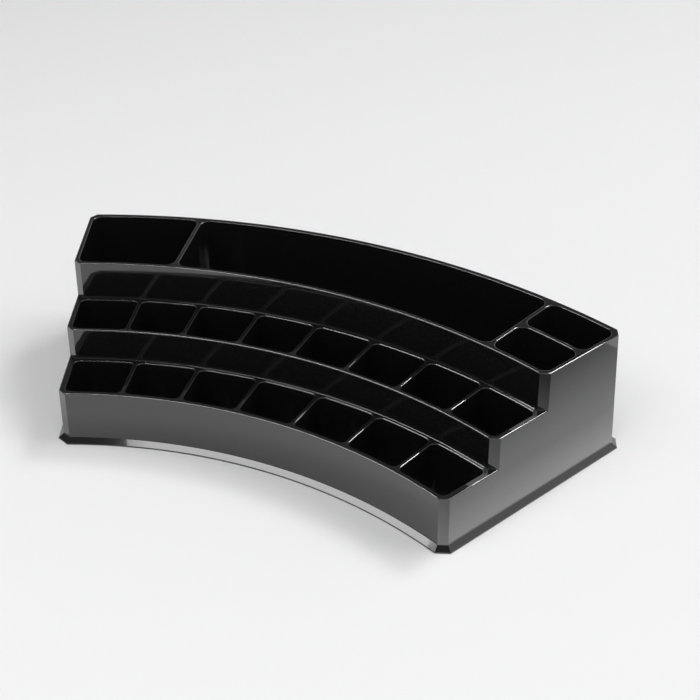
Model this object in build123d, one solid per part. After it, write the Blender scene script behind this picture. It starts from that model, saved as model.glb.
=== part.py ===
from build123d import *
import os
from math import cos, degrees, radians, sin, sqrt, tan

# Curved, stepped bathroom organizer in millimetres, +Z up.
# Every long wall runs on an arc about one upright axis in front of the organizer.
# The plan is drawn about that axis, +Y to the back, and moved when it is done, so
# that the origin is the middle of the foot's outline, on the table.

# Heights of the three rims above the table
FRONT_HEIGHT = 29.4
MIDDLE_HEIGHT = 46.7
REAR_HEIGHT = 67.3

# Radii of the upright outer faces, each at its own rim
FRONT_RIM_RADIUS = 256.4
MIDDLE_RIM_RADIUS = 288.6
REAR_RIM_RADIUS = 321.0
BACK_RIM_RADIUS = 376.0

# Half angle between the two ends, leg of the corner facets, draft of outer faces
END_ANGLE = 24.1
CORNER_LEG = 3.6
OUTER_DRAFT = tan(radians(1.55))

# Radii of the faces of the wells and bins, at their mouths
FRONT_WELL_RADII = (259.0, 286.0)
MIDDLE_WELL_RADII = (290.7, 318.4)
BIN_RADII = (323.1, 373.0)
CROSS_RADIUS = 348.0

# Distance of the end wells from the ends, and thickness of the dividers on top
END_INSET = 4.0
DIVIDER_WIDTH = 2.0

# Plan radii of the corners of wells and bins
WELL_CORNER = 3.0
BIN_CORNER = 5.0

# Bevels along the outer rims, round the mouths and floors of wells, and under risers
RIM_BEVEL = 0.5
MOUTH_BEVEL = 0.4
FLOOR_BEVEL = 0.5
RISER_BEVEL = 0.5

# Wells in each row, and the angles at which the rear row is divided
FRONT_WELLS = 7
MIDDLE_WELLS = 8
LEFT_BIN_ANGLE = -14.2
RIGHT_BIN_ANGLE = 17.4

# Foot: height, upright land at the table, reach past the walls, recess under the floor
FOOT_HEIGHT = 2.9
FOOT_LAND = 0.7
FOOT_REACH = 2.8
FLOOR_RECESS = 0.8

# How far the seats for the dividers stand out of the walls of wells and bins
WELL_SEAT = 1.2
BIN_SEAT = 2.8

# Hidden backs of the lower tiers, and cutting solids, run this far past a visible face,
# and swept solids turn this many degrees past each end
OVERRUN = 16.0
END_OVERRUN = 4.0

# Faces and edges within this distance of a height lie at it
LEVEL_BAND = 0.01

UP = Vector(0, 0, 1)


def heading(angle):
    """Unit vector away from the axis, angle degrees to the right of straight back."""
    return Vector(sin(radians(angle)), cos(radians(angle)), 0)


def sideways(angle):
    """Unit vector to the right of that heading."""
    return Vector(cos(radians(angle)), -sin(radians(angle)), 0)


def arc_solid(outline):
    """Sweep a closed outline of (radius, height) points past both ends."""
    half_sweep = END_ANGLE + END_OVERRUN
    face = Plane.YZ * make_face(Polyline(*outline, close=True))
    return Rot(0, 0, -half_sweep) * revolve(face, Axis.Z, revolution_arc=2 * half_sweep)


def behind(solid, point, normal):
    """Part of a solid on the side of a plane that its normal points away from."""
    return split(solid, bisect_by=Plane(origin=point, z_dir=normal), keep=Keep.BOTTOM)


def flat_faces(front, back):
    """Point, level normal and draft of each flat outer face, from two floor radii."""
    faces = []
    for side in (-1, 1):
        outward = side * sideways(side * END_ANGLE)
        along = heading(side * END_ANGLE)
        faces.append((Vector(0, 0, 0), outward, OUTER_DRAFT))
        for radius, facing in ((front, -1), (back, 1)):
            corner = along * (radius - facing * CORNER_LEG)
            normal = (outward + facing * along) / sqrt(2)
            faces.append((corner, normal, OUTER_DRAFT * sqrt(2)))
    return faces


def tier(rim_radius, height, back_radius):
    """Solid block under one rim, drafted and faceted, its rim bevelled."""
    front = rim_radius - height * OUTER_DRAFT
    back = back_radius + height * OUTER_DRAFT
    lift = FOOT_HEIGHT * OUTER_DRAFT
    outline = [
        (front + lift, FOOT_HEIGHT),
        (back - lift, FOOT_HEIGHT),
        (back_radius, height),
        (rim_radius, height),
    ]
    block = arc_solid(outline)
    for point, normal, draft in flat_faces(front, back):
        block = behind(block, point, normal + UP * draft)
    rim = block.faces().sort_by(Axis.Z)[-1].edges()
    return chamfer(rim, RIM_BEVEL)


def at_height(shapes, height):
    """Those of some faces or edges that lie at a height."""
    return shapes.filter_by_position(Axis.Z, height - LEVEL_BAND, height + LEVEL_BAND)


def riser_foot(block, height):
    """The arc and the two facet lines where a riser stands on the shelf below it."""
    edges = at_height(block.edges(), height)
    arc = edges.filter_by(GeomType.CIRCLE).sort_by(SortBy.RADIUS)[-1]
    facets = edges.filter_by(GeomType.LINE).filter_by(lambda edge: arc.distance_to(edge) < LEVEL_BAND)
    return [arc] + list(facets)


def stepped_block():
    """All three tiers in one block, before the wells are sunk into it."""
    front = tier(FRONT_RIM_RADIUS, FRONT_HEIGHT, MIDDLE_RIM_RADIUS + OVERRUN)
    middle = tier(MIDDLE_RIM_RADIUS, MIDDLE_HEIGHT, REAR_RIM_RADIUS + OVERRUN)
    rear = tier(REAR_RIM_RADIUS, REAR_HEIGHT, BACK_RIM_RADIUS)
    block = front + middle + rear
    for height in (FRONT_HEIGHT, MIDDLE_HEIGHT):
        block = chamfer(riser_foot(block, height), RISER_BEVEL)
    return block


def side_point(side, radius):
    """Point at a radius on a side line, given as its angle and its offset to the right."""
    angle, offset = side
    return sideways(angle) * offset + heading(angle) * sqrt(radius**2 - offset**2)


def well(left, right, radii, corner, height):
    """Space of one well between two side lines and two radii."""
    inner, outer = radii
    middle = heading((left[0] + right[0]) / 2)
    far_left, far_right = side_point(left, outer), side_point(right, outer)
    near_left, near_right = side_point(left, inner), side_point(right, inner)
    outline = [
        Line(near_left, far_left),
        ThreePointArc(far_left, middle * outer, far_right),
        Line(far_right, near_right),
        ThreePointArc(near_right, middle * inner, near_left),
    ]
    mouth = make_face(outline)
    mouth = fillet(mouth.vertices(), corner)
    space = Pos(0, 0, FOOT_HEIGHT) * extrude(mouth, amount=height - FOOT_HEIGHT)
    return chamfer(at_height(space.edges(), FOOT_HEIGHT), FLOOR_BEVEL)


def row_sides(angles):
    """Left and right side lines of the wells that dividers at these angles make."""
    left_sides = [(-END_ANGLE, END_INSET)]
    right_sides = []
    for angle in angles:
        right_sides.append((angle, -DIVIDER_WIDTH / 2))
        left_sides.append((angle, DIVIDER_WIDTH / 2))
    right_sides.append((END_ANGLE, -END_INSET))
    return list(zip(left_sides, right_sides))


def even_angles(count, radii):
    """Angles of the dividers between equal wells, halfway along them."""
    radius = sum(radii) / 2
    wall = degrees(DIVIDER_WIDTH / radius)
    room = 2 * (END_ANGLE - degrees(END_INSET / radius)) + wall
    return [(i - count / 2) * room / count for i in range(1, count)]


def small_bins():
    """The two bins at the right, one behind the other."""
    sides = row_sides([RIGHT_BIN_ANGLE])[-1]
    near = (BIN_RADII[0], CROSS_RADIUS - DIVIDER_WIDTH / 2)
    far = (CROSS_RADIUS + DIVIDER_WIDTH / 2, BIN_RADII[1])
    return [well(*sides, radii, BIN_CORNER, REAR_HEIGHT) for radii in (near, far)]


def sunk_block():
    """The stepped block with every well sunk into it and its mouth bevelled."""
    block = stepped_block()
    rows = (
        (even_angles(FRONT_WELLS, FRONT_WELL_RADII), FRONT_WELL_RADII, FRONT_HEIGHT),
        (even_angles(MIDDLE_WELLS, MIDDLE_WELL_RADII), MIDDLE_WELL_RADII, MIDDLE_HEIGHT),
    )
    spaces = []
    for angles, radii, height in rows:
        for sides in row_sides(angles):
            spaces.append(well(*sides, radii, WELL_CORNER, height))
    for sides in row_sides([LEFT_BIN_ANGLE, RIGHT_BIN_ANGLE])[:-1]:
        spaces.append(well(*sides, BIN_RADII, BIN_CORNER, REAR_HEIGHT))
    spaces.extend(small_bins())
    block = block - spaces
    for height in (FRONT_HEIGHT, MIDDLE_HEIGHT, REAR_HEIGHT):
        rims = [shelf.inner_wires() for shelf in at_height(block.faces(), height)]
        mouths = [edge for wires in rims for wire in wires for edge in wire.edges()]
        block = chamfer(mouths, MOUTH_BEVEL)
    return block


def end_side(side, inset):
    """A point on the plane at an inset from one end, and the plane's outward normal."""
    outward = side * sideways(side * END_ANGLE)
    return outward * -inset, outward


def end_walls(block):
    """The two end walls cut off a block, and what is left of it between them."""
    pieces = {}
    for name, side in (("left_end_wall", -1), ("right_end_wall", 1)):
        point, outward = end_side(side, END_INSET + BIN_SEAT)
        pieces[name] = behind(block, point, -outward)
        block = behind(block, point, outward)
    return pieces, block


def between(block, inner, outer):
    """Solids of a block between two radii, in order from left to right."""
    top = REAR_HEIGHT + OVERRUN
    zone = arc_solid([(inner, 0), (outer, 0), (outer, top), (inner, top)])
    return sorted((block & zone).solids(), key=lambda solid: solid.center().X / solid.center().Y)


def long_walls(block):
    """The curved walls, each with the seats of the dividers that meet it."""
    front_seat = FRONT_WELL_RADII[0] + WELL_SEAT
    back_seat = BIN_RADII[1] - BIN_SEAT
    bands = {
        "front_wall": (front_seat - OVERRUN, front_seat),
        "middle_riser": (FRONT_WELL_RADII[1] - WELL_SEAT, MIDDLE_WELL_RADII[0] + WELL_SEAT),
        "rear_riser": (MIDDLE_WELL_RADII[1] - WELL_SEAT, BIN_RADII[0] + BIN_SEAT),
        "rear_wall": (back_seat, back_seat + OVERRUN),
    }
    return {name: between(block, *radii)[0] for name, radii in bands.items()}


def well_dividers(block):
    """The dividers of the two low rows, numbered from the left."""
    bands = {
        "front_divider": (FRONT_WELL_RADII[0] + WELL_SEAT, FRONT_WELL_RADII[1] - WELL_SEAT),
        "middle_divider": (MIDDLE_WELL_RADII[0] + WELL_SEAT, MIDDLE_WELL_RADII[1] - WELL_SEAT),
    }
    pieces = {}
    for name, radii in bands.items():
        for number, solid in enumerate(between(block, *radii), start=1):
            pieces[f"{name}_{number}"] = solid
    return pieces


def bin_dividers(block):
    """The dividers of the rear row, with a seat for the cross divider on the right one."""
    left, crossed = between(block, BIN_RADII[0] + BIN_SEAT, BIN_RADII[1] - BIN_SEAT)
    rightward = sideways(RIGHT_BIN_ANGLE)
    seat = rightward * (DIVIDER_WIDTH / 2 + BIN_SEAT)
    return {
        "left_bin_divider": left,
        "right_bin_divider": behind(crossed, seat, rightward),
        "cross_divider": behind(crossed, seat, -rightward),
    }


def foot_block():
    """Solid foot as wide as the flare at the table, its sides sloping up to the walls."""
    front = FRONT_RIM_RADIUS - FRONT_HEIGHT * OUTER_DRAFT
    back = BACK_RIM_RADIUS + REAR_HEIGHT * OUTER_DRAFT
    lift = FOOT_HEIGHT * OUTER_DRAFT
    outline = [
        (front - FOOT_REACH, 0),
        (back + FOOT_REACH, 0),
        (back + FOOT_REACH, FOOT_LAND),
        (back - lift, FOOT_HEIGHT),
        (front + lift, FOOT_HEIGHT),
        (front - FOOT_REACH, FOOT_LAND),
    ]
    block = arc_solid(outline)
    for point, normal, draft in flat_faces(front, back):
        edge = point + normal * FOOT_REACH
        slope = (FOOT_REACH + FOOT_HEIGHT * draft) / (FOOT_HEIGHT - FOOT_LAND)
        block = behind(block, edge, normal)
        block = behind(block, edge + UP * FOOT_LAND, normal + UP * slope)
    return block


def base_pieces():
    """The foot round the rim of the base, and the floor plate that it holds."""
    inner = FRONT_WELL_RADII[0] + WELL_SEAT
    outer = BIN_RADII[1] - BIN_SEAT
    plate = arc_solid([(inner, 0), (outer, 0), (outer, FOOT_HEIGHT), (inner, FOOT_HEIGHT)])
    for side in (-1, 1):
        plate = behind(plate, *end_side(side, END_INSET + BIN_SEAT))
    foot = foot_block() - plate
    floor = behind(plate, UP * FLOOR_RECESS, -UP)
    return {"foot_flare": foot, "floor_plate": floor}


pieces, inner_block = end_walls(sunk_block())
pieces.update(base_pieces())
pieces.update(long_walls(inner_block))
pieces.update(well_dividers(inner_block))
pieces.update(bin_dividers(inner_block))

# The front-most points are the foot's front corners and the rear-most one is the middle
# of its back, so the foot's own outline gives the move to the origin
home = Pos(0, -pieces["foot_flare"].bounding_box().center().Y, 0)
os.makedirs("parts", exist_ok=True)
for name, shape in pieces.items():
    solid = home * shape.solid()
    solid.label = name
    export_step(solid, f"parts/{name}.step")
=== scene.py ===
"""Looks of a curved, stepped bathroom organizer moulded in gloss black plastic.

Sizes are in millimetres about the upright axis of the curved walls, +Y to the back, as
the part is drawn. Every finished mesh is moved to the shared frame, in metres.
"""

from __future__ import annotations

import logging
from collections.abc import Callable
from dataclasses import dataclass, field
from enum import Enum
from math import atan2, ceil, cos, degrees, pi, radians, sin, sqrt, tan

import bmesh
import bpy
from mathutils import Matrix, Quaternion, Vector

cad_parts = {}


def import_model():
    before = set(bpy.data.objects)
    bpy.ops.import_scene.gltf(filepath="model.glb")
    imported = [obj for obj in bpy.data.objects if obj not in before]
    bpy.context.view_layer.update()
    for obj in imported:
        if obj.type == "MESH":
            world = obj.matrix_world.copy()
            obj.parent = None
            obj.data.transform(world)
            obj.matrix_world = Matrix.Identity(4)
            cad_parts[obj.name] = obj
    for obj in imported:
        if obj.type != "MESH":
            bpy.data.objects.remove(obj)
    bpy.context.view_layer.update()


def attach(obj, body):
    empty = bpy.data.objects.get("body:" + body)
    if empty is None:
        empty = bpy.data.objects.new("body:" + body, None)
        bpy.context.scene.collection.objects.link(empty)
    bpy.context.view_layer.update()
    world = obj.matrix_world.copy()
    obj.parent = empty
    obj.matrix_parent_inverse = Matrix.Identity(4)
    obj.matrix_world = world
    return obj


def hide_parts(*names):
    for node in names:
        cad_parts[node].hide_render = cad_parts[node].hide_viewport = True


log = logging.getLogger("organizer")

# Where the axis of the curved walls stands in the shared frame
AXIS_Y = -306.19

# Draft of the outer faces, half angle between the ends, legs of the corner facets
DRAFT = tan(radians(1.55))
END_ANGLE = 24.1
CORNER_LEG = 3.6

# Insets from the end faces: the end wells' sides, and where the end walls meet the rest
WELL_INSET = 4.0
CUT_INSET = 6.8

# Radial reach of the walls' seats for the dividers
WELL_SEAT = 1.2
BIN_SEAT = 2.8

# Finest steps of the arcs, in degrees of the long walls and of the well corners
ARC_STEP = 1.0
CORNER_STEP = 11.0

# Turns of the quarter circle, in degrees, at which the fillets under risers are drawn
FILLET_TURNS = (0.0, 22.5, 45.0, 67.5, 90.0)

# How far to each side of a divider its share of the wells' mouths reaches
DIVIDER_SHARE = 8.0

# Steps across a rounded edge, and the face attribute that marks the faces made there
ROUND_SEGMENTS = 4
ROUNDED = "rounded"

# Faces that meet at more than this angle, in degrees, keep a sharp edge
SHARP_ANGLE = 25.0

# One millimetre in the shared frame
MILLIMETRE = 0.001

Room = Callable[[Vector], float]


class EdgeKind(Enum):
    """What the top edge of an upright face is in the moulding."""

    RIM = "rim"
    MOUTH = "mouth"
    SEAM = "seam"


@dataclass(frozen=True)
class Run:
    """A stretch of a plan outline whose edges are all of one kind.

    The edge from its last point to the next run's first point is a seam.
    """

    points: list[Vector]
    kind: EdgeKind


Outline = Callable[[float], list[Run]]


def heading(angle: float) -> Vector:
    """Return the unit vector away from the axis, angle degrees right of straight back."""
    return Vector((sin(radians(angle)), cos(radians(angle)), 0.0))


def sideways(angle: float) -> Vector:
    """Return the unit vector to the right of that heading."""
    return Vector((cos(radians(angle)), -sin(radians(angle)), 0.0))


def arc(
    centre: Vector, start: Vector, end: Vector, radius: float, step: float, count: int = 0
) -> list[Vector]:
    """Sample an arc anticlockwise from one direction to another.

    Args:
        centre: Centre of the arc.
        start: Direction of its first point.
        end: Direction of its last point.
        radius: Its radius.
        step: Largest turn between two points, in degrees.
        count: How many steps to take; as many as step asks for if it is 0.

    Returns:
        The points, both ends included.
    """
    first = atan2(start.y, start.x)
    sweep = (atan2(end.y, end.x) - first) % (2 * pi)
    count = count or max(1, ceil(degrees(sweep) / step - 1e-6))
    turns = [first + sweep * i / count for i in range(count + 1)]
    return [centre + Vector((cos(t), sin(t), 0.0)) * radius for t in turns]


@dataclass(frozen=True)
class SideLine:
    """A straight side of wells: parallel to a heading, at an offset to its right."""

    angle: float
    offset: float

    def at(self, radius: float) -> Vector:
        """Return the line's point at a distance from the axis."""
        along = sqrt(radius**2 - self.offset**2)
        return sideways(self.angle) * self.offset + heading(self.angle) * along


@dataclass(frozen=True)
class Well:
    """The mouth of one well or bin, between two side lines and two radii."""

    left: SideLine
    right: SideLine
    inner: float
    outer: float
    corner: float

    def corner_centre(self, side: SideLine, inward: float, radius: float) -> Vector:
        """Find the centre of a corner's arc.

        Args:
            side: The side line that the corner touches.
            inward: 1 if the well lies to the right of that line, else -1.
            radius: Distance of the centre from the axis.

        Returns:
            The centre, in plan.
        """
        return SideLine(side.angle, side.offset + inward * self.corner).at(radius)

    def loop(self) -> list[Vector]:
        """Draw the mouth.

        Returns:
            A closed loop of points, anticlockwise seen from above.
        """
        near = self.inner + self.corner
        far = self.outer - self.corner
        right_out = sideways(self.right.angle)
        left_out = -sideways(self.left.angle)
        points: list[Vector] = []
        for side, inward, radius, start, end in (
            (self.right, -1, near, None, right_out),
            (self.right, -1, far, right_out, None),
            (self.left, 1, far, None, left_out),
            (self.left, 1, near, left_out, None),
        ):
            centre = self.corner_centre(side, inward, radius)
            toward = centre.normalized() * (1 if radius == far else -1)
            points += arc(centre, start or toward, end or toward, self.corner, CORNER_STEP)
            if radius == far and inward == -1:
                points += self.back_arc(points[-1])
        return points + self.front_arc(points[-1], points[0])

    def back_arc(self, start: Vector) -> list[Vector]:
        """Return the points between the two far corners, from the right one."""
        end = self.corner_centre(self.left, 1, self.outer - self.corner)
        return arc(Vector(), start, end, self.outer, ARC_STEP)[1:-1]

    def front_arc(self, start: Vector, end: Vector) -> list[Vector]:
        """Return the points between the two near corners, from the left one."""
        return arc(Vector(), end, start, self.inner, ARC_STEP)[-2:0:-1]

    def edge(self, *rooms: Room) -> Run:
        """Cut out the part of the mouth that lies where every room is above zero.

        Args:
            rooms: How far inside each bound of that part a point lies.

        Returns:
            The part, against the loop, as the solid outside the well has it.
        """
        loop = self.loop()
        room = [min(test(point) for test in rooms) for point in loop]
        count = len(loop)
        start = next(i for i in range(count) if room[i - 1] <= 0 < room[i])
        kept = [crossing(loop[start - 1], loop[start], room[start - 1], room[start])]
        index = start
        while room[index % count] > 0:
            kept.append(loop[index % count])
            index += 1
        last, after = (index - 1) % count, index % count
        kept.append(crossing(loop[last], loop[after], room[last], room[after]))
        return Run(without_crumbs(kept)[::-1], EdgeKind.MOUTH)


def crossing(a: Vector, b: Vector, room_a: float, room_b: float) -> Vector:
    """Return the point between a and b where a room that changes evenly is zero."""
    return a.lerp(b, room_a / (room_a - room_b))


def without_crumbs(points: list[Vector], least: float = 0.12) -> list[Vector]:
    """Drop inner points that lie close to an end of a run.

    Args:
        points: The run.
        least: The smallest distance from an end at which a point is kept.

    Returns:
        Both ends and the inner points that are left.
    """
    inner = [
        p for p in points[1:-1]
        if (p - points[0]).length > least and (p - points[-1]).length > least
    ]
    return [points[0], *inner, points[-1]]


def beyond(radius: float) -> Room:
    """Return the room outside a radius."""
    return lambda point: point.length - radius


def within(radius: float) -> Room:
    """Return the room inside a radius."""
    return lambda point: radius - point.length


def right_of(line: SideLine) -> Room:
    """Return the room to the right of a side line."""
    return lambda point: point.dot(sideways(line.angle)) - line.offset


def left_of(line: SideLine) -> Room:
    """Return the room to the left of a side line."""
    return lambda point: line.offset - point.dot(sideways(line.angle))


LEFT_CUT = SideLine(-END_ANGLE, CUT_INSET)
RIGHT_CUT = SideLine(END_ANGLE, -CUT_INSET)


@dataclass(frozen=True)
class Flare:
    """How far a front face, its corner facets and the end faces stand out at a height."""

    front: float = 0.0
    end: float = 0.0


@dataclass(frozen=True)
class Tier:
    """One step of the moulding, with its outer faces and its row of wells."""

    height: float
    rim_radius: float
    inner: float
    outer: float
    corner: float
    seat: float
    shelf: float
    dividers: tuple[float, ...]
    divider_width: float = 2.0
    foot_fillet: float = 0.3

    def floor_radius(self) -> float:
        """Return the radius of the drafted front face at table level."""
        return self.rim_radius - self.height * DRAFT

    def flare(self, z: float) -> Flare:
        """Find how far the fillet under the riser brings it forward.

        Args:
            z: Height above the table.

        Returns:
            The flare there, which is nothing above the fillet or without a shelf.
        """
        left = self.foot_fillet - max(0.0, z - self.shelf)
        if not self.shelf or left <= 0:
            return Flare()
        return Flare(front=self.foot_fillet - sqrt(max(0.0, self.foot_fillet**2 - left**2)))

    def front_arc(self, z: float) -> list[Vector]:
        """Draw the front face between the two end walls.

        Args:
            z: Height above the table.

        Returns:
            Its points, from the left.
        """
        radius = self.floor_radius() + z * DRAFT - self.flare(z).front
        start, end = RIGHT_CUT.at(radius), LEFT_CUT.at(radius)
        return arc(Vector(), start, end, radius, ARC_STEP)[::-1]

    def front_corner(self, side: int, z: float, flare: Flare) -> tuple[Vector, Vector]:
        """Find the two ends of a front corner facet.

        Args:
            side: -1 at the left, 1 at the right.
            z: Height above the table.
            flare: How far the faces that meet there stand out.

        Returns:
            The end on the front arc, then the one on the end face.
        """
        along, outward = heading(side * END_ANGLE), sideways(side * END_ANGLE) * side
        lean = z * DRAFT
        radius = self.floor_radius() + lean - flare.front
        reach = self.floor_radius() + CORNER_LEG + 2 * lean - sqrt(2) * flare.front
        a = (reach + sqrt(2 * radius**2 - reach**2)) / 2
        on_arc = along * a + outward * (a - reach)
        b = flare.end - lean
        return on_arc, along * (reach + b) + outward * b

    def wells(self) -> list[Well]:
        """Lay out the wells of the row.

        Returns:
            The wells, from the left.
        """
        half = self.divider_width / 2
        lefts = [SideLine(-END_ANGLE, WELL_INSET)] + [SideLine(a, half) for a in self.dividers]
        rights = [SideLine(a, -half) for a in self.dividers] + [SideLine(END_ANGLE, -WELL_INSET)]
        return [
            Well(left, right, self.inner, self.outer, self.corner)
            for left, right in zip(lefts, rights)
        ]


def even_angles(count: int, inner: float, outer: float, width: float = 2.0) -> tuple[float, ...]:
    """Space the dividers of a row of equal wells.

    Args:
        count: How many wells the row has.
        inner: Radius of the wells' near faces.
        outer: Radius of their far faces.
        width: Thickness of a divider.

    Returns:
        The angle of each divider, from the left.
    """
    radius = (inner + outer) / 2
    wall = degrees(width / radius)
    room = 2 * (END_ANGLE - degrees(WELL_INSET / radius)) + wall
    return tuple((i - count / 2) * room / count for i in range(1, count))


FRONT = Tier(
    height=29.4,
    rim_radius=256.4,
    inner=259.0,
    outer=286.0,
    corner=3.0,
    seat=WELL_SEAT,
    shelf=0.0,
    dividers=even_angles(7, 259.0, 286.0),
)
MIDDLE = Tier(
    height=46.7,
    rim_radius=288.6,
    inner=290.7,
    outer=318.4,
    corner=3.0,
    seat=WELL_SEAT,
    shelf=FRONT.height,
    dividers=even_angles(8, 290.7, 318.4),
)
REAR = Tier(
    height=67.3,
    rim_radius=321.0,
    inner=323.1,
    outer=373.0,
    corner=5.0,
    seat=BIN_SEAT,
    shelf=MIDDLE.height,
    dividers=(-14.2, 17.4),
)

# Height of the foot's top and of the wells' floors
FLOOR = 2.9

# The outer back face, and the cross divider of the right bin
BACK_RADIUS = 376.0 + REAR.height * DRAFT
CROSS_RADIUS = 348.0
CROSS_HALF = 1.0
CROSS_SEAT = SideLine(REAR.dividers[1], CROSS_HALF + BIN_SEAT)


def back_corner(side: int, z: float, flare: float = 0.0) -> tuple[Vector, Vector]:
    """Find the two ends of a rear corner facet.

    Args:
        side: -1 at the left, 1 at the right.
        z: Height above the table.
        flare: How far the faces that meet there stand out.

    Returns:
        The end on the end face, then the one on the back arc.
    """
    along, outward = heading(side * END_ANGLE), sideways(side * END_ANGLE) * side
    lean = z * DRAFT
    radius = BACK_RADIUS - lean + flare
    reach = BACK_RADIUS - CORNER_LEG - 2 * lean + sqrt(2) * flare
    a = (reach + sqrt(2 * radius**2 - reach**2)) / 2
    b = flare - lean
    return along * (reach - b) + outward * b, along * a + outward * (reach - a)


def back_arc(z: float) -> list[Vector]:
    """Return the outer back face between the end walls at a height, from the right."""
    radius = BACK_RADIUS - z * DRAFT
    return arc(Vector(), RIGHT_CUT.at(radius), LEFT_CUT.at(radius), radius, ARC_STEP)


def bins() -> tuple[Well, Well, Well, Well]:
    """Lay out the bins of the rear row.

    Returns:
        The left bin, the wide bin, and the near and far small bins.
    """
    left, wide, small = REAR.wells()
    near = Well(small.left, small.right, REAR.inner, CROSS_RADIUS - CROSS_HALF, REAR.corner)
    far = Well(small.left, small.right, CROSS_RADIUS + CROSS_HALF, REAR.outer, REAR.corner)
    return left, wide, near, far


def raised(
    verts: list[bmesh.types.BMVert], lifted: set[bmesh.types.BMVert]
) -> list[bmesh.types.BMVert]:
    """Find the copies that an extrusion made of some vertices.

    Args:
        verts: The vertices that were extruded.
        lifted: All vertices that the extrusion made.

    Returns:
        The copy of each vertex, in the same order.
    """
    return [
        next(e.other_vert(v) for e in v.link_edges if e.other_vert(v) in lifted) for v in verts
    ]


def round_off(bm: bmesh.types.BMesh, edges: list[bmesh.types.BMEdge], size: float) -> None:
    """Round edges of a mesh that has the attribute for rounded faces, and mark the faces.

    Args:
        bm: The mesh.
        edges: The edges to round.
        size: How far the rounding reaches from each edge.
    """
    layer = bm.faces.layers.float.get(ROUNDED)
    made = bmesh.ops.bevel(
        bm,
        geom=edges,
        affect="EDGES",
        offset=size,
        offset_type="OFFSET",
        segments=ROUND_SEGMENTS,
        profile=0.5,
        material=-1,
        loop_slide=True,
        clamp_overlap=False,
    )
    for face in made["faces"]:
        face[layer] = 1.0


@dataclass
class Moulding:
    """One moulded piece, made of closed upright shells whose top edges are rounded."""

    node: str
    rim_round: float = 0.45
    mouth_round: float = 0.45
    mesh: bmesh.types.BMesh = field(default_factory=bmesh.new)
    top_edges: dict[EdgeKind, list[bmesh.types.BMEdge]] = field(default_factory=dict)

    def add_shell(self, heights: list[float], outline: Outline) -> None:
        """Raise one closed shell from its lowest outline to its highest.

        Args:
            heights: The heights at which the outline is taken, from the lowest.
            outline: Gives the plan outline at a height, with the same count of points.
        """
        bm = self.mesh
        ring = self.ring(outline(heights[0]), heights[0])
        face = bm.faces.new([bm.verts.new(point) for point in ring])
        foot = list(face.verts)
        for z in heights[1:]:
            made = bmesh.ops.extrude_face_region(bm, geom=[face], use_keep_orig=z == heights[1])
            face = next(g for g in made["geom"] if isinstance(g, bmesh.types.BMFace))
            foot = raised(foot, set(face.verts))
            for vertex, point in zip(foot, self.ring(outline(z), z), strict=True):
                vertex.co = point
        kinds: list[EdgeKind] = []
        for run in outline(heights[-1]):
            kinds += [run.kind] * (len(run.points) - 1) + [EdgeKind.SEAM]
        for i, kind in enumerate(kinds):
            edge = bm.edges.get((foot[i], foot[(i + 1) % len(foot)]))
            self.top_edges.setdefault(kind, []).append(edge)

    @staticmethod
    def ring(runs: list[Run], z: float) -> list[Vector]:
        """Return the points of an outline at a height."""
        return [Vector((p.x, p.y, z)) for run in runs for p in run.points]

    def round_edges(self) -> None:
        """Round the rims and the mouths of the wells, and mark the faces made there."""
        self.mesh.faces.layers.float.new(ROUNDED)
        for kind, size in ((EdgeKind.RIM, self.rim_round), (EdgeKind.MOUTH, self.mouth_round)):
            edges = self.top_edges.get(kind, [])
            if edges:
                round_off(self.mesh, edges, size)

    def finish(self, material: bpy.types.Material) -> bpy.types.Object:
        """Round, place and dress the piece, and let it stand for its CAD node.

        Args:
            material: The finish that covers it.

        Returns:
            The piece, riding on the root body.
        """
        self.round_edges()
        return place(self.node, self.mesh, material)


def place(node: str, bm: bmesh.types.BMesh, material: bpy.types.Material) -> bpy.types.Object:
    """Move a finished mesh to the shared frame and let it stand for its CAD node.

    Args:
        node: The CAD node that it stands for.
        bm: The mesh in millimetres about the axis; it is freed.
        material: The finish that covers it.

    Returns:
        The piece, riding on the root body.
    """
    bmesh.ops.recalc_face_normals(bm, faces=bm.faces)
    home = Matrix.Scale(MILLIMETRE, 4) @ Matrix.Translation((0.0, AXIS_Y, 0.0))
    bmesh.ops.transform(bm, matrix=home, verts=bm.verts)
    data = bpy.data.meshes.new(f"{node}_moulded")
    bm.to_mesh(data)
    bm.free()
    data.shade_smooth()
    data.set_sharp_from_angle(angle=radians(SHARP_ANGLE))
    data.materials.append(material)
    piece = bpy.data.objects.new(f"{node}_moulded", data)
    bpy.context.scene.collection.objects.link(piece)
    normals = piece.modifiers.new("even_normals", "WEIGHTED_NORMAL")
    normals.mode = "FACE_AREA"
    normals.keep_sharp = True
    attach(piece, "root")
    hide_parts(node)
    log.info("%s: %d faces", piece.name, len(data.polygons))
    return piece


def riser_heights(tier: Tier) -> list[float]:
    """List the heights at which a tier's outline is drawn.

    Args:
        tier: The tier; the fillet's steps are left out where it stands on no shelf.

    Returns:
        The heights, from the lowest.
    """
    fillet = tier.foot_fillet
    steps = [tier.shelf + fillet * (1 - cos(radians(turn))) for turn in FILLET_TURNS]
    return [FLOOR, *steps, tier.height] if tier.shelf else [FLOOR, tier.height]


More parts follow.
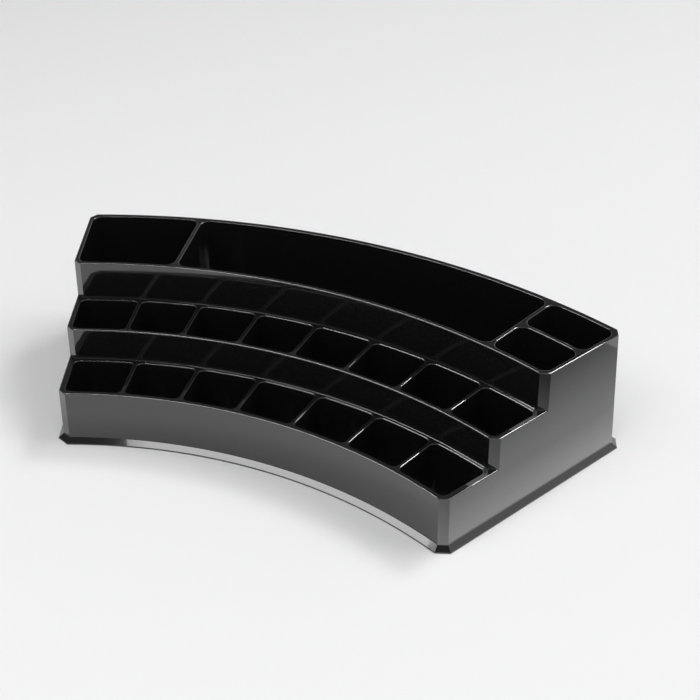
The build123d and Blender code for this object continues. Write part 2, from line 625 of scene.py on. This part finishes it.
@dataclass
class LongWalls:
    """The curved walls between the two end walls."""

    gloss: bpy.types.Material

    def front_wall(self) -> bpy.types.Object:
        """Build the low wall along the front."""
        keep = (within(FRONT.inner + FRONT.seat), right_of(LEFT_CUT), left_of(RIGHT_CUT))
        mouths = [well.edge(*keep) for well in FRONT.wells()[::-1]]
        wall = Moulding("front_wall")
        wall.add_shell(
            [FLOOR, FRONT.height], lambda z: [Run(FRONT.front_arc(z), EdgeKind.RIM), *mouths]
        )
        return wall.finish(self.gloss)

    def riser(self, node: str, below: Tier, above: Tier, behind: list[Well]) -> bpy.types.Object:
        """Build a stepped wall: the back of one row's shelf and the wall that rises from it.

        Args:
            node: The CAD node that it stands for.
            below: The tier whose shelf it carries.
            above: The tier whose front it is.
            behind: The wells behind it, from the left.

        Returns:
            The piece.
        """
        cuts = (right_of(LEFT_CUT), left_of(RIGHT_CUT))
        shelf = [well.edge(beyond(below.outer - below.seat), *cuts) for well in below.wells()]
        mouths = [well.edge(within(above.inner + above.seat), *cuts) for well in behind[::-1]]
        wall = Moulding(node)
        wall.add_shell(
            [FLOOR, below.height], lambda z: [*shelf, Run(above.front_arc(z)[::-1], EdgeKind.SEAM)]
        )
        wall.add_shell(
            riser_heights(above), lambda z: [Run(above.front_arc(z), EdgeKind.RIM), *mouths]
        )
        return wall.finish(self.gloss)

    def rear_wall(self) -> bpy.types.Object:
        """Build the tall wall along the back."""
        left, wide, _, far = bins()
        keep = (beyond(REAR.outer - REAR.seat), right_of(LEFT_CUT), left_of(RIGHT_CUT))
        mouths = [well.edge(*keep) for well in (left, wide, far)]
        wall = Moulding("rear_wall", mouth_round=0.3)
        wall.add_shell(
            [FLOOR, REAR.height], lambda z: [*mouths, Run(back_arc(z), EdgeKind.RIM)]
        )
        return wall.finish(self.gloss)

    def build(self) -> None:
        """Build all four curved walls."""
        left, wide, near, _ = bins()
        self.front_wall()
        self.riser("middle_riser", FRONT, MIDDLE, MIDDLE.wells())
        self.riser("rear_riser", MIDDLE, REAR, [left, wide, near])
        self.rear_wall()


@dataclass
class EndWall:
    """A stepped end wall with its faceted corners; side is -1 at the left, 1 at the right."""

    node: str
    side: int
    gloss: bpy.types.Material

    @property
    def cut(self) -> SideLine:
        """Return the line where this wall meets the curved walls."""
        return RIGHT_CUT if self.side > 0 else LEFT_CUT

    def front_line(self, tier: Tier, z: float) -> list[Vector]:
        """Draw a tier's front from the cut to the end face, with the corner facet.

        Args:
            tier: The tier.
            z: Height above the table.

        Returns:
            Its three points, from the cut.
        """
        flare = tier.flare(z)
        radius = tier.floor_radius() + z * DRAFT - flare.front
        return [self.cut.at(radius), *tier.front_corner(self.side, z, flare)]

    def back_line(self, z: float) -> list[Vector]:
        """Return the back from the end face to the cut, with the corner facet."""
        return [*back_corner(self.side, z), self.cut.at(BACK_RADIUS - z * DRAFT)]

    def mouths(self, wells: list[Well]) -> list[Run]:
        """Return the sides of these wells that the wall holds, drawn from the cut."""
        keep = right_of(RIGHT_CUT) if self.side > 0 else left_of(LEFT_CUT)
        return [self.turned([well.edge(keep)])[0] for well in wells]

    def turned(self, runs: list[Run]) -> list[Run]:
        """Turn runs that are drawn from the cut anticlockwise.

        Args:
            runs: The runs, which are clockwise at the left end.

        Returns:
            The runs, anticlockwise at both ends.
        """
        if self.side > 0:
            return runs
        return [Run(run.points[::-1], run.kind) for run in runs[::-1]]

    def low_tier(self, tier: Tier, above: Tier) -> Outline:
        """Prepare the outline of a tier that ends under the next one's riser.

        Args:
            tier: The tier.
            above: The next one.

        Returns:
            What gives the outline at a height.
        """
        mouths = self.mouths([tier.wells()[-1 if self.side > 0 else 0]])

        def outline(z: float) -> list[Run]:
            """Draw the tier at a height."""
            inner, corner, end = self.front_line(tier, z)
            next_inner, next_corner, next_end = self.front_line(above, z)
            outer = Run([inner, corner, end, next_end], EdgeKind.RIM)
            seam = Run([next_corner, next_inner], EdgeKind.SEAM)
            return self.turned([outer, seam, *mouths])

        return outline

    def high_tier(self) -> Outline:
        """Prepare the outline of the rear tier.

        Returns:
            What gives the outline at a height.
        """
        left, _, near, far = bins()
        mouths = self.mouths([far, near] if self.side > 0 else [left])

        def outline(z: float) -> list[Run]:
            """Draw the tier at a height."""
            outer = Run([*self.front_line(REAR, z), *self.back_line(z)], EdgeKind.RIM)
            return self.turned([outer, *mouths])

        return outline

    def build(self) -> bpy.types.Object:
        """Build the wall's three tiers as one piece."""
        wall = Moulding(self.node)
        wall.add_shell(riser_heights(FRONT), self.low_tier(FRONT, MIDDLE))
        wall.add_shell(riser_heights(MIDDLE), self.low_tier(MIDDLE, REAR))
        wall.add_shell(riser_heights(REAR), self.high_tier())
        return wall.finish(self.gloss)


@dataclass
class Dividers:
    """The thin straight walls between neighbouring wells and bins."""

    gloss: bpy.types.Material

    def between(self, node: str, height: float, edges: list[Run]) -> bpy.types.Object:
        """Build one divider.

        Args:
            node: The CAD node that it stands for.
            height: Height of its top above the table.
            edges: The stretches of the wells' mouths that bound it, anticlockwise.

        Returns:
            The piece.
        """
        divider = Moulding(node)
        divider.add_shell([FLOOR, height], lambda z: edges)
        return divider.finish(self.gloss)

    def row(self, name: str, tier: Tier) -> None:
        """Build the dividers of a row of wells, numbered from the left.

        Args:
            name: What their nodes' names start with.
            tier: The tier whose row it is.
        """
        keep = (beyond(tier.inner + tier.seat), within(tier.outer - tier.seat))
        wells = tier.wells()
        for number, angle in enumerate(tier.dividers, start=1):
            left, right = wells[number - 1], wells[number]
            middle = SideLine(angle, 0.0)
            right_end = SideLine(angle, tier.corner + tier.divider_width)
            left_end = SideLine(angle, -tier.corner - tier.divider_width)
            edges = [
                right.edge(*keep, right_of(middle), left_of(right_end)),
                left.edge(*keep, left_of(middle), right_of(left_end)),
            ]
            self.between(f"{name}_{number}", tier.height, edges)

    def bin_dividers(self) -> None:
        """Build the two dividers of the rear row and the cross divider at the right."""
        left, wide, near, far = bins()
        seats = (beyond(REAR.inner + REAR.seat), within(REAR.outer - REAR.seat))
        left_angle, right_angle = REAR.dividers
        edges = [
            wide.edge(*seats, left_of(SideLine(left_angle, DIVIDER_SHARE))),
            left.edge(*seats, right_of(SideLine(left_angle, -DIVIDER_SHARE))),
        ]
        self.between("left_bin_divider", REAR.height, edges)
        edges = [
            near.edge(*seats, left_of(CROSS_SEAT)),
            far.edge(*seats, left_of(CROSS_SEAT)),
            wide.edge(*seats, right_of(SideLine(right_angle, -DIVIDER_SHARE))),
        ]
        self.between("right_bin_divider", REAR.height, edges)
        across = (right_of(CROSS_SEAT), left_of(RIGHT_CUT))
        edges = [
            near.edge(*across, beyond(CROSS_RADIUS - DIVIDER_SHARE)),
            far.edge(*across, within(CROSS_RADIUS + DIVIDER_SHARE)),
        ]
        self.between("cross_divider", REAR.height, edges)

    def build(self) -> None:
        """Build every divider."""
        self.row("front_divider", FRONT)
        self.row("middle_divider", MIDDLE)
        self.bin_dividers()


@dataclass
class Base:
    """The flared foot round the outline and the floor plate that it holds.

    Both long sides of the foot have arc_count steps at every height, so that its loops
    match point for point.
    """

    gloss: bpy.types.Material
    land: float = 0.7
    reach: float = 2.76
    recess: float = 0.8
    edge_round: float = 0.25
    arc_count: int = 48

    def rim_line(self, z: float, flare: float) -> list[Vector]:
        """Draw the foot's whole outline.

        Args:
            z: Height above the table.
            flare: How far it stands out past the walls.

        Returns:
            A closed loop of points.
        """
        spread = Flare(front=flare, end=flare)
        front_left = FRONT.front_corner(-1, z, spread)
        front_right = FRONT.front_corner(1, z, spread)
        rear_right = back_corner(1, z, flare)
        rear_left = back_corner(-1, z, flare)
        near = FRONT.floor_radius() + z * DRAFT - flare
        far = BACK_RADIUS - z * DRAFT + flare
        count = self.arc_count
        front = arc(Vector(), front_right[0], front_left[0], near, ARC_STEP, count)[::-1]
        back = arc(Vector(), rear_right[1], rear_left[1], far, ARC_STEP, count)
        return [*front, front_right[1], rear_right[0], *back, rear_left[0], front_left[1]]

    def plate_line(self) -> list[Vector]:
        """Draw the outline where the floor plate meets the foot.

        Returns:
            A closed loop of points.
        """
        near, far = FRONT.inner + FRONT.seat, REAR.outer - REAR.seat
        front = arc(Vector(), RIGHT_CUT.at(near), LEFT_CUT.at(near), near, ARC_STEP)[::-1]
        back = arc(Vector(), RIGHT_CUT.at(far), LEFT_CUT.at(far), far, ARC_STEP)
        return [*front, *back]

    def foot(self) -> bpy.types.Object:
        """Build the foot as a closed ring, its land and slope drawn up from the table.

        Returns:
            The piece.
        """
        bm = bmesh.new()
        bm.faces.layers.float.new(ROUNDED)
        outer = loop_edges(bm, self.rim_line(0.0, self.reach), 0.0)
        inner = loop_edges(bm, self.plate_line(), 0.0)
        bmesh.ops.bridge_loops(bm, edges=outer + inner)
        land = raise_loop(bm, outer, self.rim_line(0.0, self.reach), self.land)
        crest = raise_loop(bm, land, self.rim_line(FLOOR, 0.0), FLOOR)
        lip = raise_loop(bm, inner, self.plate_line(), FLOOR)
        bmesh.ops.bridge_loops(bm, edges=crest + lip)
        round_off(bm, land + outer, self.edge_round)
        return place("foot_flare", bm, self.gloss)

    def floor_plate(self) -> bpy.types.Object:
        """Build the flat floor of all wells and bins."""
        plate = Moulding("floor_plate")
        plate.add_shell([self.recess, FLOOR], lambda z: [Run(self.plate_line(), EdgeKind.SEAM)])
        return plate.finish(self.gloss)

    def build(self) -> None:
        """Build the foot and the floor plate."""
        self.foot()
        self.floor_plate()


def loop_edges(bm: bmesh.types.BMesh, points: list[Vector], z: float) -> list[bmesh.types.BMEdge]:
    """Draw a closed loop of edges.

    Args:
        bm: The mesh.
        points: Where its vertices go in plan, in order.
        z: Height above the table.

    Returns:
        The edges, in order.
    """
    verts = [bm.verts.new((p.x, p.y, z)) for p in points]
    return [bm.edges.new((verts[i - 1], verts[i])) for i in range(len(verts))]


def raise_loop(
    bm: bmesh.types.BMesh, edges: list[bmesh.types.BMEdge], points: list[Vector], z: float
) -> list[bmesh.types.BMEdge]:
    """Extrude a closed loop of edges to the points of the same loop at a height.

    Args:
        bm: The mesh.
        edges: The loop's edges, in order.
        points: Where its vertices go in plan, in order.
        z: The height that they go to.

    Returns:
        The new loop's edges, in order.
    """
    if len(points) != len(edges):
        raise ValueError(f"{len(points)} points for a loop of {len(edges)} edges")
    verts = [next(v for v in edges[i].verts if v in edges[i - 1].verts) for i in range(len(edges))]
    start = min(range(len(points)), key=lambda i: (verts[0].co.xy - points[i].xy).length)
    made = bmesh.ops.extrude_edge_only(bm, edges=edges)
    lifted = {g for g in made["geom"] if isinstance(g, bmesh.types.BMVert)}
    new = raised(verts, lifted)
    for i, vertex in enumerate(new):
        target = points[(start + i) % len(points)]
        vertex.co = (target.x, target.y, z)
    return [bm.edges.get((new[i], new[(i + 1) % len(new)])) for i in range(len(new))]


@dataclass(frozen=True)
class Socket:
    """An end of an effect's node group: a number, or a colour where it has four."""

    name: str
    default: float | tuple[float, float, float, float] = 0.0

    @property
    def kind(self) -> str:
        """Return the kind of socket that holds it."""
        return "NodeSocketColor" if isinstance(self.default, tuple) else "NodeSocketFloat"


@dataclass(frozen=True)
class Effect:
    """A node group for one effect of a finish, with its ends and its noise."""

    tree: bpy.types.NodeTree
    inputs: bpy.types.Node
    outputs: bpy.types.Node
    where: bpy.types.Node
    noise: bpy.types.Node

    @classmethod
    def begin(cls, name: str, detail: float, sockets: list[Socket], output: Socket) -> Effect:
        """Make the group, with noise whose scale is the group's own input.

        Args:
            name: The group's name.
            detail: Detail of the noise.
            sockets: The group's inputs; one is named Scale.
            output: The group's output.

        Returns:
            The effect, whose noise isn't placed yet.
        """
        tree = bpy.data.node_groups.new(name, "ShaderNodeTree")
        for socket in sockets:
            made = tree.interface.new_socket(
                socket.name, in_out="INPUT", socket_type=socket.kind
            )
            made.default_value = socket.default
        tree.interface.new_socket(output.name, in_out="OUTPUT", socket_type=output.kind)
        kinds = ("NodeGroupInput", "NodeGroupOutput", "ShaderNodeTexCoord", "ShaderNodeTexNoise")
        inputs, outputs, where, noise = (tree.nodes.new(kind) for kind in kinds)
        noise.inputs["Detail"].default_value = detail
        tree.links.new(inputs.outputs["Scale"], noise.inputs["Scale"])
        return cls(tree, inputs, outputs, where, noise)


@dataclass(frozen=True)
class GlossBlack:
    """Polished black moulding, with haze, faint flow waves and softly worn rims."""

    colour: tuple[float, float, float] = (0.006, 0.006, 0.0065)
    worn_colour: tuple[float, float, float] = (0.03, 0.03, 0.032)
    wear_scale: float = 260.0
    ior: float = 1.59
    coat: float = 1.0
    coat_roughness: float = 0.02
    haze_scale: float = 40.0
    haze_least: float = 0.04
    haze_most: float = 0.1
    haze_span: tuple[float, float] = (0.3, 0.7)
    wave_scale: float = 30.0
    wave_depth: float = 0.00025
    wave_stretch: tuple[float, float, float] = (1.0, 1.0, 0.35)

    def haze_group(self) -> bpy.types.NodeTree:
        """Make the effect that varies the polish over the surface.

        Returns:
            Its node group.
        """
        sockets = [
            Socket("Scale", self.haze_scale),
            Socket("Least", self.haze_least),
            Socket("Most", self.haze_most),
        ]
        haze = Effect.begin("polish_haze", 5.0, sockets, Socket("Roughness"))
        links = haze.tree.links
        spread = haze.tree.nodes.new("ShaderNodeMapRange")
        spread.inputs["From Min"].default_value = self.haze_span[0]
        spread.inputs["From Max"].default_value = self.haze_span[1]
        links.new(haze.where.outputs["Object"], haze.noise.inputs["Vector"])
        links.new(haze.noise.outputs["Fac"], spread.inputs["Value"])
        links.new(haze.inputs.outputs["Least"], spread.inputs["To Min"])
        links.new(haze.inputs.outputs["Most"], spread.inputs["To Max"])
        links.new(spread.outputs["Result"], haze.outputs.inputs["Roughness"])
        return haze.tree

    def flow_group(self) -> bpy.types.NodeTree:
        """Make the effect that waves the surface as a moulded wall does.

        Returns:
            Its node group.
        """
        sockets = [Socket("Scale", self.wave_scale), Socket("Depth", self.wave_depth)]
        flow = Effect.begin("flow_waves", 1.0, sockets, Socket("Height"))
        links = flow.tree.links
        drawn = flow.tree.nodes.new("ShaderNodeMapping")
        drawn.inputs["Scale"].default_value = self.wave_stretch
        deep = flow.tree.nodes.new("ShaderNodeMath")
        deep.operation = "MULTIPLY"
        links.new(flow.where.outputs["Object"], drawn.inputs["Vector"])
        links.new(drawn.outputs["Vector"], flow.noise.inputs["Vector"])
        links.new(flow.noise.outputs["Fac"], deep.inputs[0])
        links.new(flow.inputs.outputs["Depth"], deep.inputs[1])
        links.new(deep.outputs["Value"], flow.outputs.inputs["Height"])
        return flow.tree

    def wear_group(self) -> bpy.types.NodeTree:
        """Make the effect that lightens the rounded rims where they are handled.

        Returns:
            Its node group.
        """
        sockets = [
            Socket("Clean", (*self.colour, 1.0)),
            Socket("Worn", (*self.worn_colour, 1.0)),
            Socket("Scale", self.wear_scale),
        ]
        output = Socket("Color", (0.0, 0.0, 0.0, 1.0))
        wear = Effect.begin("rim_wear", 4.0, sockets, output)
        links = wear.tree.links
        edge = wear.tree.nodes.new("ShaderNodeAttribute")
        edge.attribute_name = ROUNDED
        mask = wear.tree.nodes.new("ShaderNodeMath")
        mask.operation = "MULTIPLY"
        mix = wear.tree.nodes.new("ShaderNodeMix")
        mix.data_type = "RGBA"
        links.new(wear.where.outputs["Object"], wear.noise.inputs["Vector"])
        links.new(wear.noise.outputs["Fac"], mask.inputs[0])
        links.new(edge.outputs["Fac"], mask.inputs[1])
        links.new(mask.outputs["Value"], mix.inputs[0])
        # A Mix node has inputs for numbers and vectors too; its colours are 6 and 7
        links.new(wear.inputs.outputs["Clean"], mix.inputs[6])
        links.new(wear.inputs.outputs["Worn"], mix.inputs[7])
        links.new(mix.outputs[2], wear.outputs.inputs["Color"])
        return wear.tree

    def build(self) -> bpy.types.Material:
        """Make the material from its effects and one shader.

        Returns:
            The material.
        """
        material = bpy.data.materials.new("gloss_black_plastic")
        material.use_nodes = True
        nodes, links = material.node_tree.nodes, material.node_tree.links
        shader = nodes["Principled BSDF"]
        shader.inputs["IOR"].default_value = self.ior
        shader.inputs["Coat Weight"].default_value = self.coat
        shader.inputs["Coat Roughness"].default_value = self.coat_roughness
        haze, flow, wear = (nodes.new("ShaderNodeGroup") for _ in range(3))
        haze.node_tree = self.haze_group()
        flow.node_tree = self.flow_group()
        wear.node_tree = self.wear_group()
        bump = nodes.new("ShaderNodeBump")
        bump.inputs["Strength"].default_value = 1.0
        bump.inputs["Distance"].default_value = 1.0
        links.new(wear.outputs["Color"], shader.inputs["Base Color"])
        links.new(haze.outputs["Roughness"], shader.inputs["Roughness"])
        links.new(flow.outputs["Height"], bump.inputs["Height"])
        links.new(bump.outputs["Normal"], shader.inputs["Normal"])
        return material


class LampRole(Enum):
    """What a lamp is for: all light, light without a reflection, or only a reflection."""

    KEY = "key"
    FILL = "fill"
    GLINT = "glint"


@dataclass(frozen=True)
class SoftBox:
    """A rectangular studio lamp that faces a point."""

    name: str
    place: tuple[float, float, float]
    size: tuple[float, float]
    power: float
    role: LampRole
    aim: tuple[float, float, float] = (0.0, 0.0, 0.03)
    turn: float = 0.0

    def build(self) -> None:
        """Make the lamp."""
        data = bpy.data.lights.new(self.name, "AREA")
        data.shape = "RECTANGLE"
        data.size, data.size_y = self.size
        data.energy = self.power
        lamp = bpy.data.objects.new(self.name, data)
        lamp.location = self.place
        lamp.visible_glossy = self.role is not LampRole.FILL
        lamp.visible_diffuse = self.role is not LampRole.GLINT
        lamp.rotation_mode = "QUATERNION"
        way = Vector(self.aim) - Vector(self.place)
        turned = Quaternion((0.0, 0.0, 1.0), radians(self.turn))
        lamp.rotation_quaternion = way.to_track_quat("-Z", "Y") @ turned
        bpy.context.scene.collection.objects.link(lamp)


@dataclass(frozen=True)
class PaintedReflectionCard:
    """A card flat on the floor at the right that paints a reflection in the gloss of the plastic.

    Its near edge emits light as a painted highlight, its middle is clear and its far part is dark
    as a painted shade, which the right end face mirrors. Each pair of cover is a distance from the
    near edge, as a share of fade, and how solid the card is there.
    """

    distance: float = 0.335
    gap: float = -0.004
    lift: float = 0.0005
    size: tuple[float, float] = (0.3, 0.23)
    glow: float = 1.6
    fade: float = 0.1
    cover: tuple[tuple[float, float], ...] = ((0.0, 1.0), (0.28, 0.0), (0.32, 0.0), (0.85, 0.85))

    def finish(self) -> bpy.types.Material:
        """Make the card's painted reflection, which changes with the distance from its near edge.

        Returns:
            The material.
        """
        material = bpy.data.materials.new("painted_reflection_card")
        material.use_nodes = True
        nodes, links = material.node_tree.nodes, material.node_tree.links
        shader = nodes["Principled BSDF"]
        shader.inputs["Base Color"].default_value = (0.01, 0.01, 0.01, 1.0)
        shader.inputs["Roughness"].default_value = 1.0
        shader.inputs["Emission Color"].default_value = (1.0, 1.0, 1.0, 1.0)
        where = nodes.new("ShaderNodeTexCoord")
        split = nodes.new("ShaderNodeSeparateXYZ")
        reach = nodes.new("ShaderNodeMath")
        reach.operation = "DIVIDE"
        reach.inputs[1].default_value = self.fade
        cover = nodes.new("ShaderNodeValToRGB")
        cover.color_ramp.elements[0].position = self.cover[0][0]
        cover.color_ramp.elements[1].position = self.cover[-1][0]
        for position, _ in self.cover[1:-1]:
            cover.color_ramp.elements.new(position)
        for element, (_, value) in zip(cover.color_ramp.elements, self.cover):
            element.color = (value, value, value, 1.0)
        near = nodes.new("ShaderNodeMath")
        near.operation = "LESS_THAN"
        near.inputs[1].default_value = self.cover[1][0]
        # Painted highlight: the card's near edge emits light, though the card is no lamp
        light = nodes.new("ShaderNodeMath")
        light.operation = "MULTIPLY"
        light.inputs[1].default_value = self.glow
        links.new(where.outputs["Object"], split.inputs["Vector"])
        links.new(split.outputs["X"], reach.inputs[0])
        links.new(reach.outputs["Value"], cover.inputs["Fac"])
        links.new(reach.outputs["Value"], near.inputs[0])
        links.new(near.outputs["Value"], light.inputs[0])
        links.new(light.outputs["Value"], shader.inputs["Emission Strength"])
        # How solid the card is: solid at the painted bright edge and at the dark far part, which
        # is painted shade
        links.new(cover.outputs["Color"], shader.inputs["Alpha"])
        return material

    def build(self) -> None:
        """Lay the card beside the right end face, hidden from all but reflections, where it paints
        light and shade.
        """
        long, half = self.size[0], self.size[1] / 2
        corners = ((0, -half, 0), (long, -half, 0), (long, half, 0), (0, half, 0))
        bm = bmesh.new()
        bm.faces.new([bm.verts.new(corner) for corner in corners])
        data = bpy.data.meshes.new("painted_reflection_card")
        bm.to_mesh(data)
        bm.free()
        data.materials.append(self.finish())
        card = bpy.data.objects.new("painted_reflection_card", data)
        near = heading(END_ANGLE) * self.distance + sideways(END_ANGLE) * self.gap
        card.location = (near.x, near.y + AXIS_Y * MILLIMETRE, self.lift)
        card.rotation_euler.z = radians(-END_ANGLE)
        # Seen only in reflections, where it paints light and shade on the right end face
        card.visible_camera = False
        card.visible_diffuse = False
        card.visible_shadow = False
        bpy.context.scene.collection.objects.link(card)


@dataclass(frozen=True)
class ViewPoint:
    """The camera, at the photograph's viewing angle; its angles are in degrees."""

    place: tuple[float, float, float] = (0.2677, -0.51119, 0.4239)
    azimuth: float = 25.43
    elevation: float = 33.71
    roll: float = -1.03
    lens: float = 70.0

    def turn(self) -> Matrix:
        """Work out how the camera is turned.

        Returns:
            The rotation, as a matrix of four rows.
        """
        azimuth, elevation, roll = map(radians, (self.azimuth, self.elevation, self.roll))
        back = Vector(
            (sin(azimuth) * cos(elevation), -cos(azimuth) * cos(elevation), sin(elevation))
        )
        right = Vector((0, 0, 1)).cross(back).normalized()
        up = back.cross(right)
        turned_right = right * cos(roll) + up * sin(roll)
        turned_up = up * cos(roll) - right * sin(roll)
        return Matrix((turned_right, turned_up, back)).transposed().to_4x4()

    def build(self) -> None:
        """Make the camera and look through it."""
        data = bpy.data.cameras.new("camera")
        data.lens = self.lens
        data.sensor_width = 36.0
        data.clip_start, data.clip_end = 0.01, 100.0
        camera = bpy.data.objects.new("camera", data)
        camera.matrix_world = Matrix.Translation(self.place) @ self.turn()
        bpy.context.scene.collection.objects.link(camera)
        bpy.context.scene.camera = camera


@dataclass
class Studio:
    """The pale floor, the room's light and the camera.

    The floor is solid out to floor_solid and fades into the pale room by floor_radius.
    The room's light fades from horizon to zenith as a direction rises through fade_span,
    and pale_right makes the pale part reach higher at the right.
    """

    floor_radius: float = 1.5
    floor_solid: float = 0.75
    floor_colour: tuple[float, float, float] = (0.78, 0.78, 0.785)
    horizon: float = 0.8
    zenith: float = 0.1
    pale_right: float = 0.8
    fade_span: tuple[float, float] = (0.2, 0.6)
    lamps: tuple[SoftBox, ...] = (
        SoftBox("key_right", (1.03, 0.74, 1.75), (0.8, 0.8), 9.0, LampRole.KEY),
        SoftBox("low_right", (1.35, 0.45, 1.05), (0.7, 0.7), 2.5, LampRole.FILL),
        SoftBox("key_back", (1.1, 2.4, 3.0), (1.0, 1.0), 44.0, LampRole.FILL),
        SoftBox(
            "strip_front_left", (-0.47, -0.502, 0.87), (0.5, 0.12), 0.9, LampRole.KEY, turn=29.0
        ),
        SoftBox("glint_above", (-0.78, 0.03, 1.4), (0.34, 0.6), 11.0, LampRole.GLINT),
        SoftBox("glint_back", (0.55, 1.07, 1.54), (0.9, 0.4), 28.0, LampRole.GLINT),
        SoftBox("fill_front", (0.05, -0.85, 1.6), (1.6, 1.6), 19.0, LampRole.FILL),
    )

    def floor(self) -> None:
        """Lay a wide pale floor under the organizer, which fades into the pale room."""
        bm = bmesh.new()
        bmesh.ops.create_circle(bm, cap_ends=True, segments=96, radius=self.floor_radius)
        data = bpy.data.meshes.new("studio_floor")
        bm.to_mesh(data)
        bm.free()
        material = bpy.data.materials.new("pale_paper")
        material.use_nodes = True
        nodes, links = material.node_tree.nodes, material.node_tree.links
        shader = nodes["Principled BSDF"]
        shader.inputs["Base Color"].default_value = (*self.floor_colour, 1.0)
        shader.inputs["Roughness"].default_value = 0.9
        shader.inputs["Specular IOR Level"].default_value = 0.1
        where = nodes.new("ShaderNodeTexCoord")
        reach = nodes.new("ShaderNodeVectorMath")
        reach.operation = "LENGTH"
        fade = nodes.new("ShaderNodeMapRange")
        fade.interpolation_type = "SMOOTHSTEP"
        fade.inputs["From Min"].default_value = self.floor_solid
        fade.inputs["From Max"].default_value = self.floor_radius
        fade.inputs["To Min"].default_value = 1.0
        fade.inputs["To Max"].default_value = 0.0
        links.new(where.outputs["Object"], reach.inputs[0])
        links.new(reach.outputs["Value"], fade.inputs["Value"])
        links.new(fade.outputs["Result"], shader.inputs["Alpha"])
        data.materials.append(material)
        floor = bpy.data.objects.new("studio_floor", data)
        bpy.context.scene.collection.objects.link(floor)

    def room(self) -> None:
        """Make the room's light, pale at the horizon and darker above."""
        world = bpy.data.worlds.new("studio_room")
        bpy.context.scene.world = world
        world.use_nodes = True
        nodes, links = world.node_tree.nodes, world.node_tree.links
        back = nodes["Background"]
        where = nodes.new("ShaderNodeTexCoord")
        split = nodes.new("ShaderNodeSeparateXYZ")
        turn = nodes.new("ShaderNodeMath")
        turn.operation = "MULTIPLY_ADD"
        turn.inputs[1].default_value = -self.pale_right
        turn.inputs[2].default_value = 1.0
        rise = nodes.new("ShaderNodeMath")
        rise.operation = "MULTIPLY"
        fade = nodes.new("ShaderNodeMapRange")
        fade.interpolation_type = "SMOOTHSTEP"
        fade.inputs["From Min"].default_value = self.fade_span[0]
        fade.inputs["From Max"].default_value = self.fade_span[1]
        fade.inputs["To Min"].default_value = self.horizon
        fade.inputs["To Max"].default_value = self.zenith
        links.new(where.outputs["Generated"], split.inputs["Vector"])
        links.new(split.outputs["X"], turn.inputs[0])
        links.new(turn.outputs["Value"], rise.inputs[0])
        links.new(split.outputs["Z"], rise.inputs[1])
        links.new(rise.outputs["Value"], fade.inputs["Value"])
        links.new(fade.outputs["Result"], back.inputs["Color"])

    def build(self) -> None:
        """Make the floor, the light and the camera."""
        bpy.context.scene.view_settings.view_transform = "Standard"
        self.floor()
        self.room()
        for lamp in self.lamps:
            lamp.build()
        # A card that paints a reflection of light and shade on the right end face
        PaintedReflectionCard().build()
        ViewPoint().build()


def main() -> None:
    """Build the organizer's visible pieces in order, then the studio round it."""
    logging.basicConfig(level=logging.INFO, format="%(message)s")
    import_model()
    gloss = GlossBlack().build()
    Base(gloss).build()
    LongWalls(gloss).build()
    EndWall("left_end_wall", -1, gloss).build()
    EndWall("right_end_wall", 1, gloss).build()
    Dividers(gloss).build()
    Studio().build()


if __name__ == "__main__":
    main()
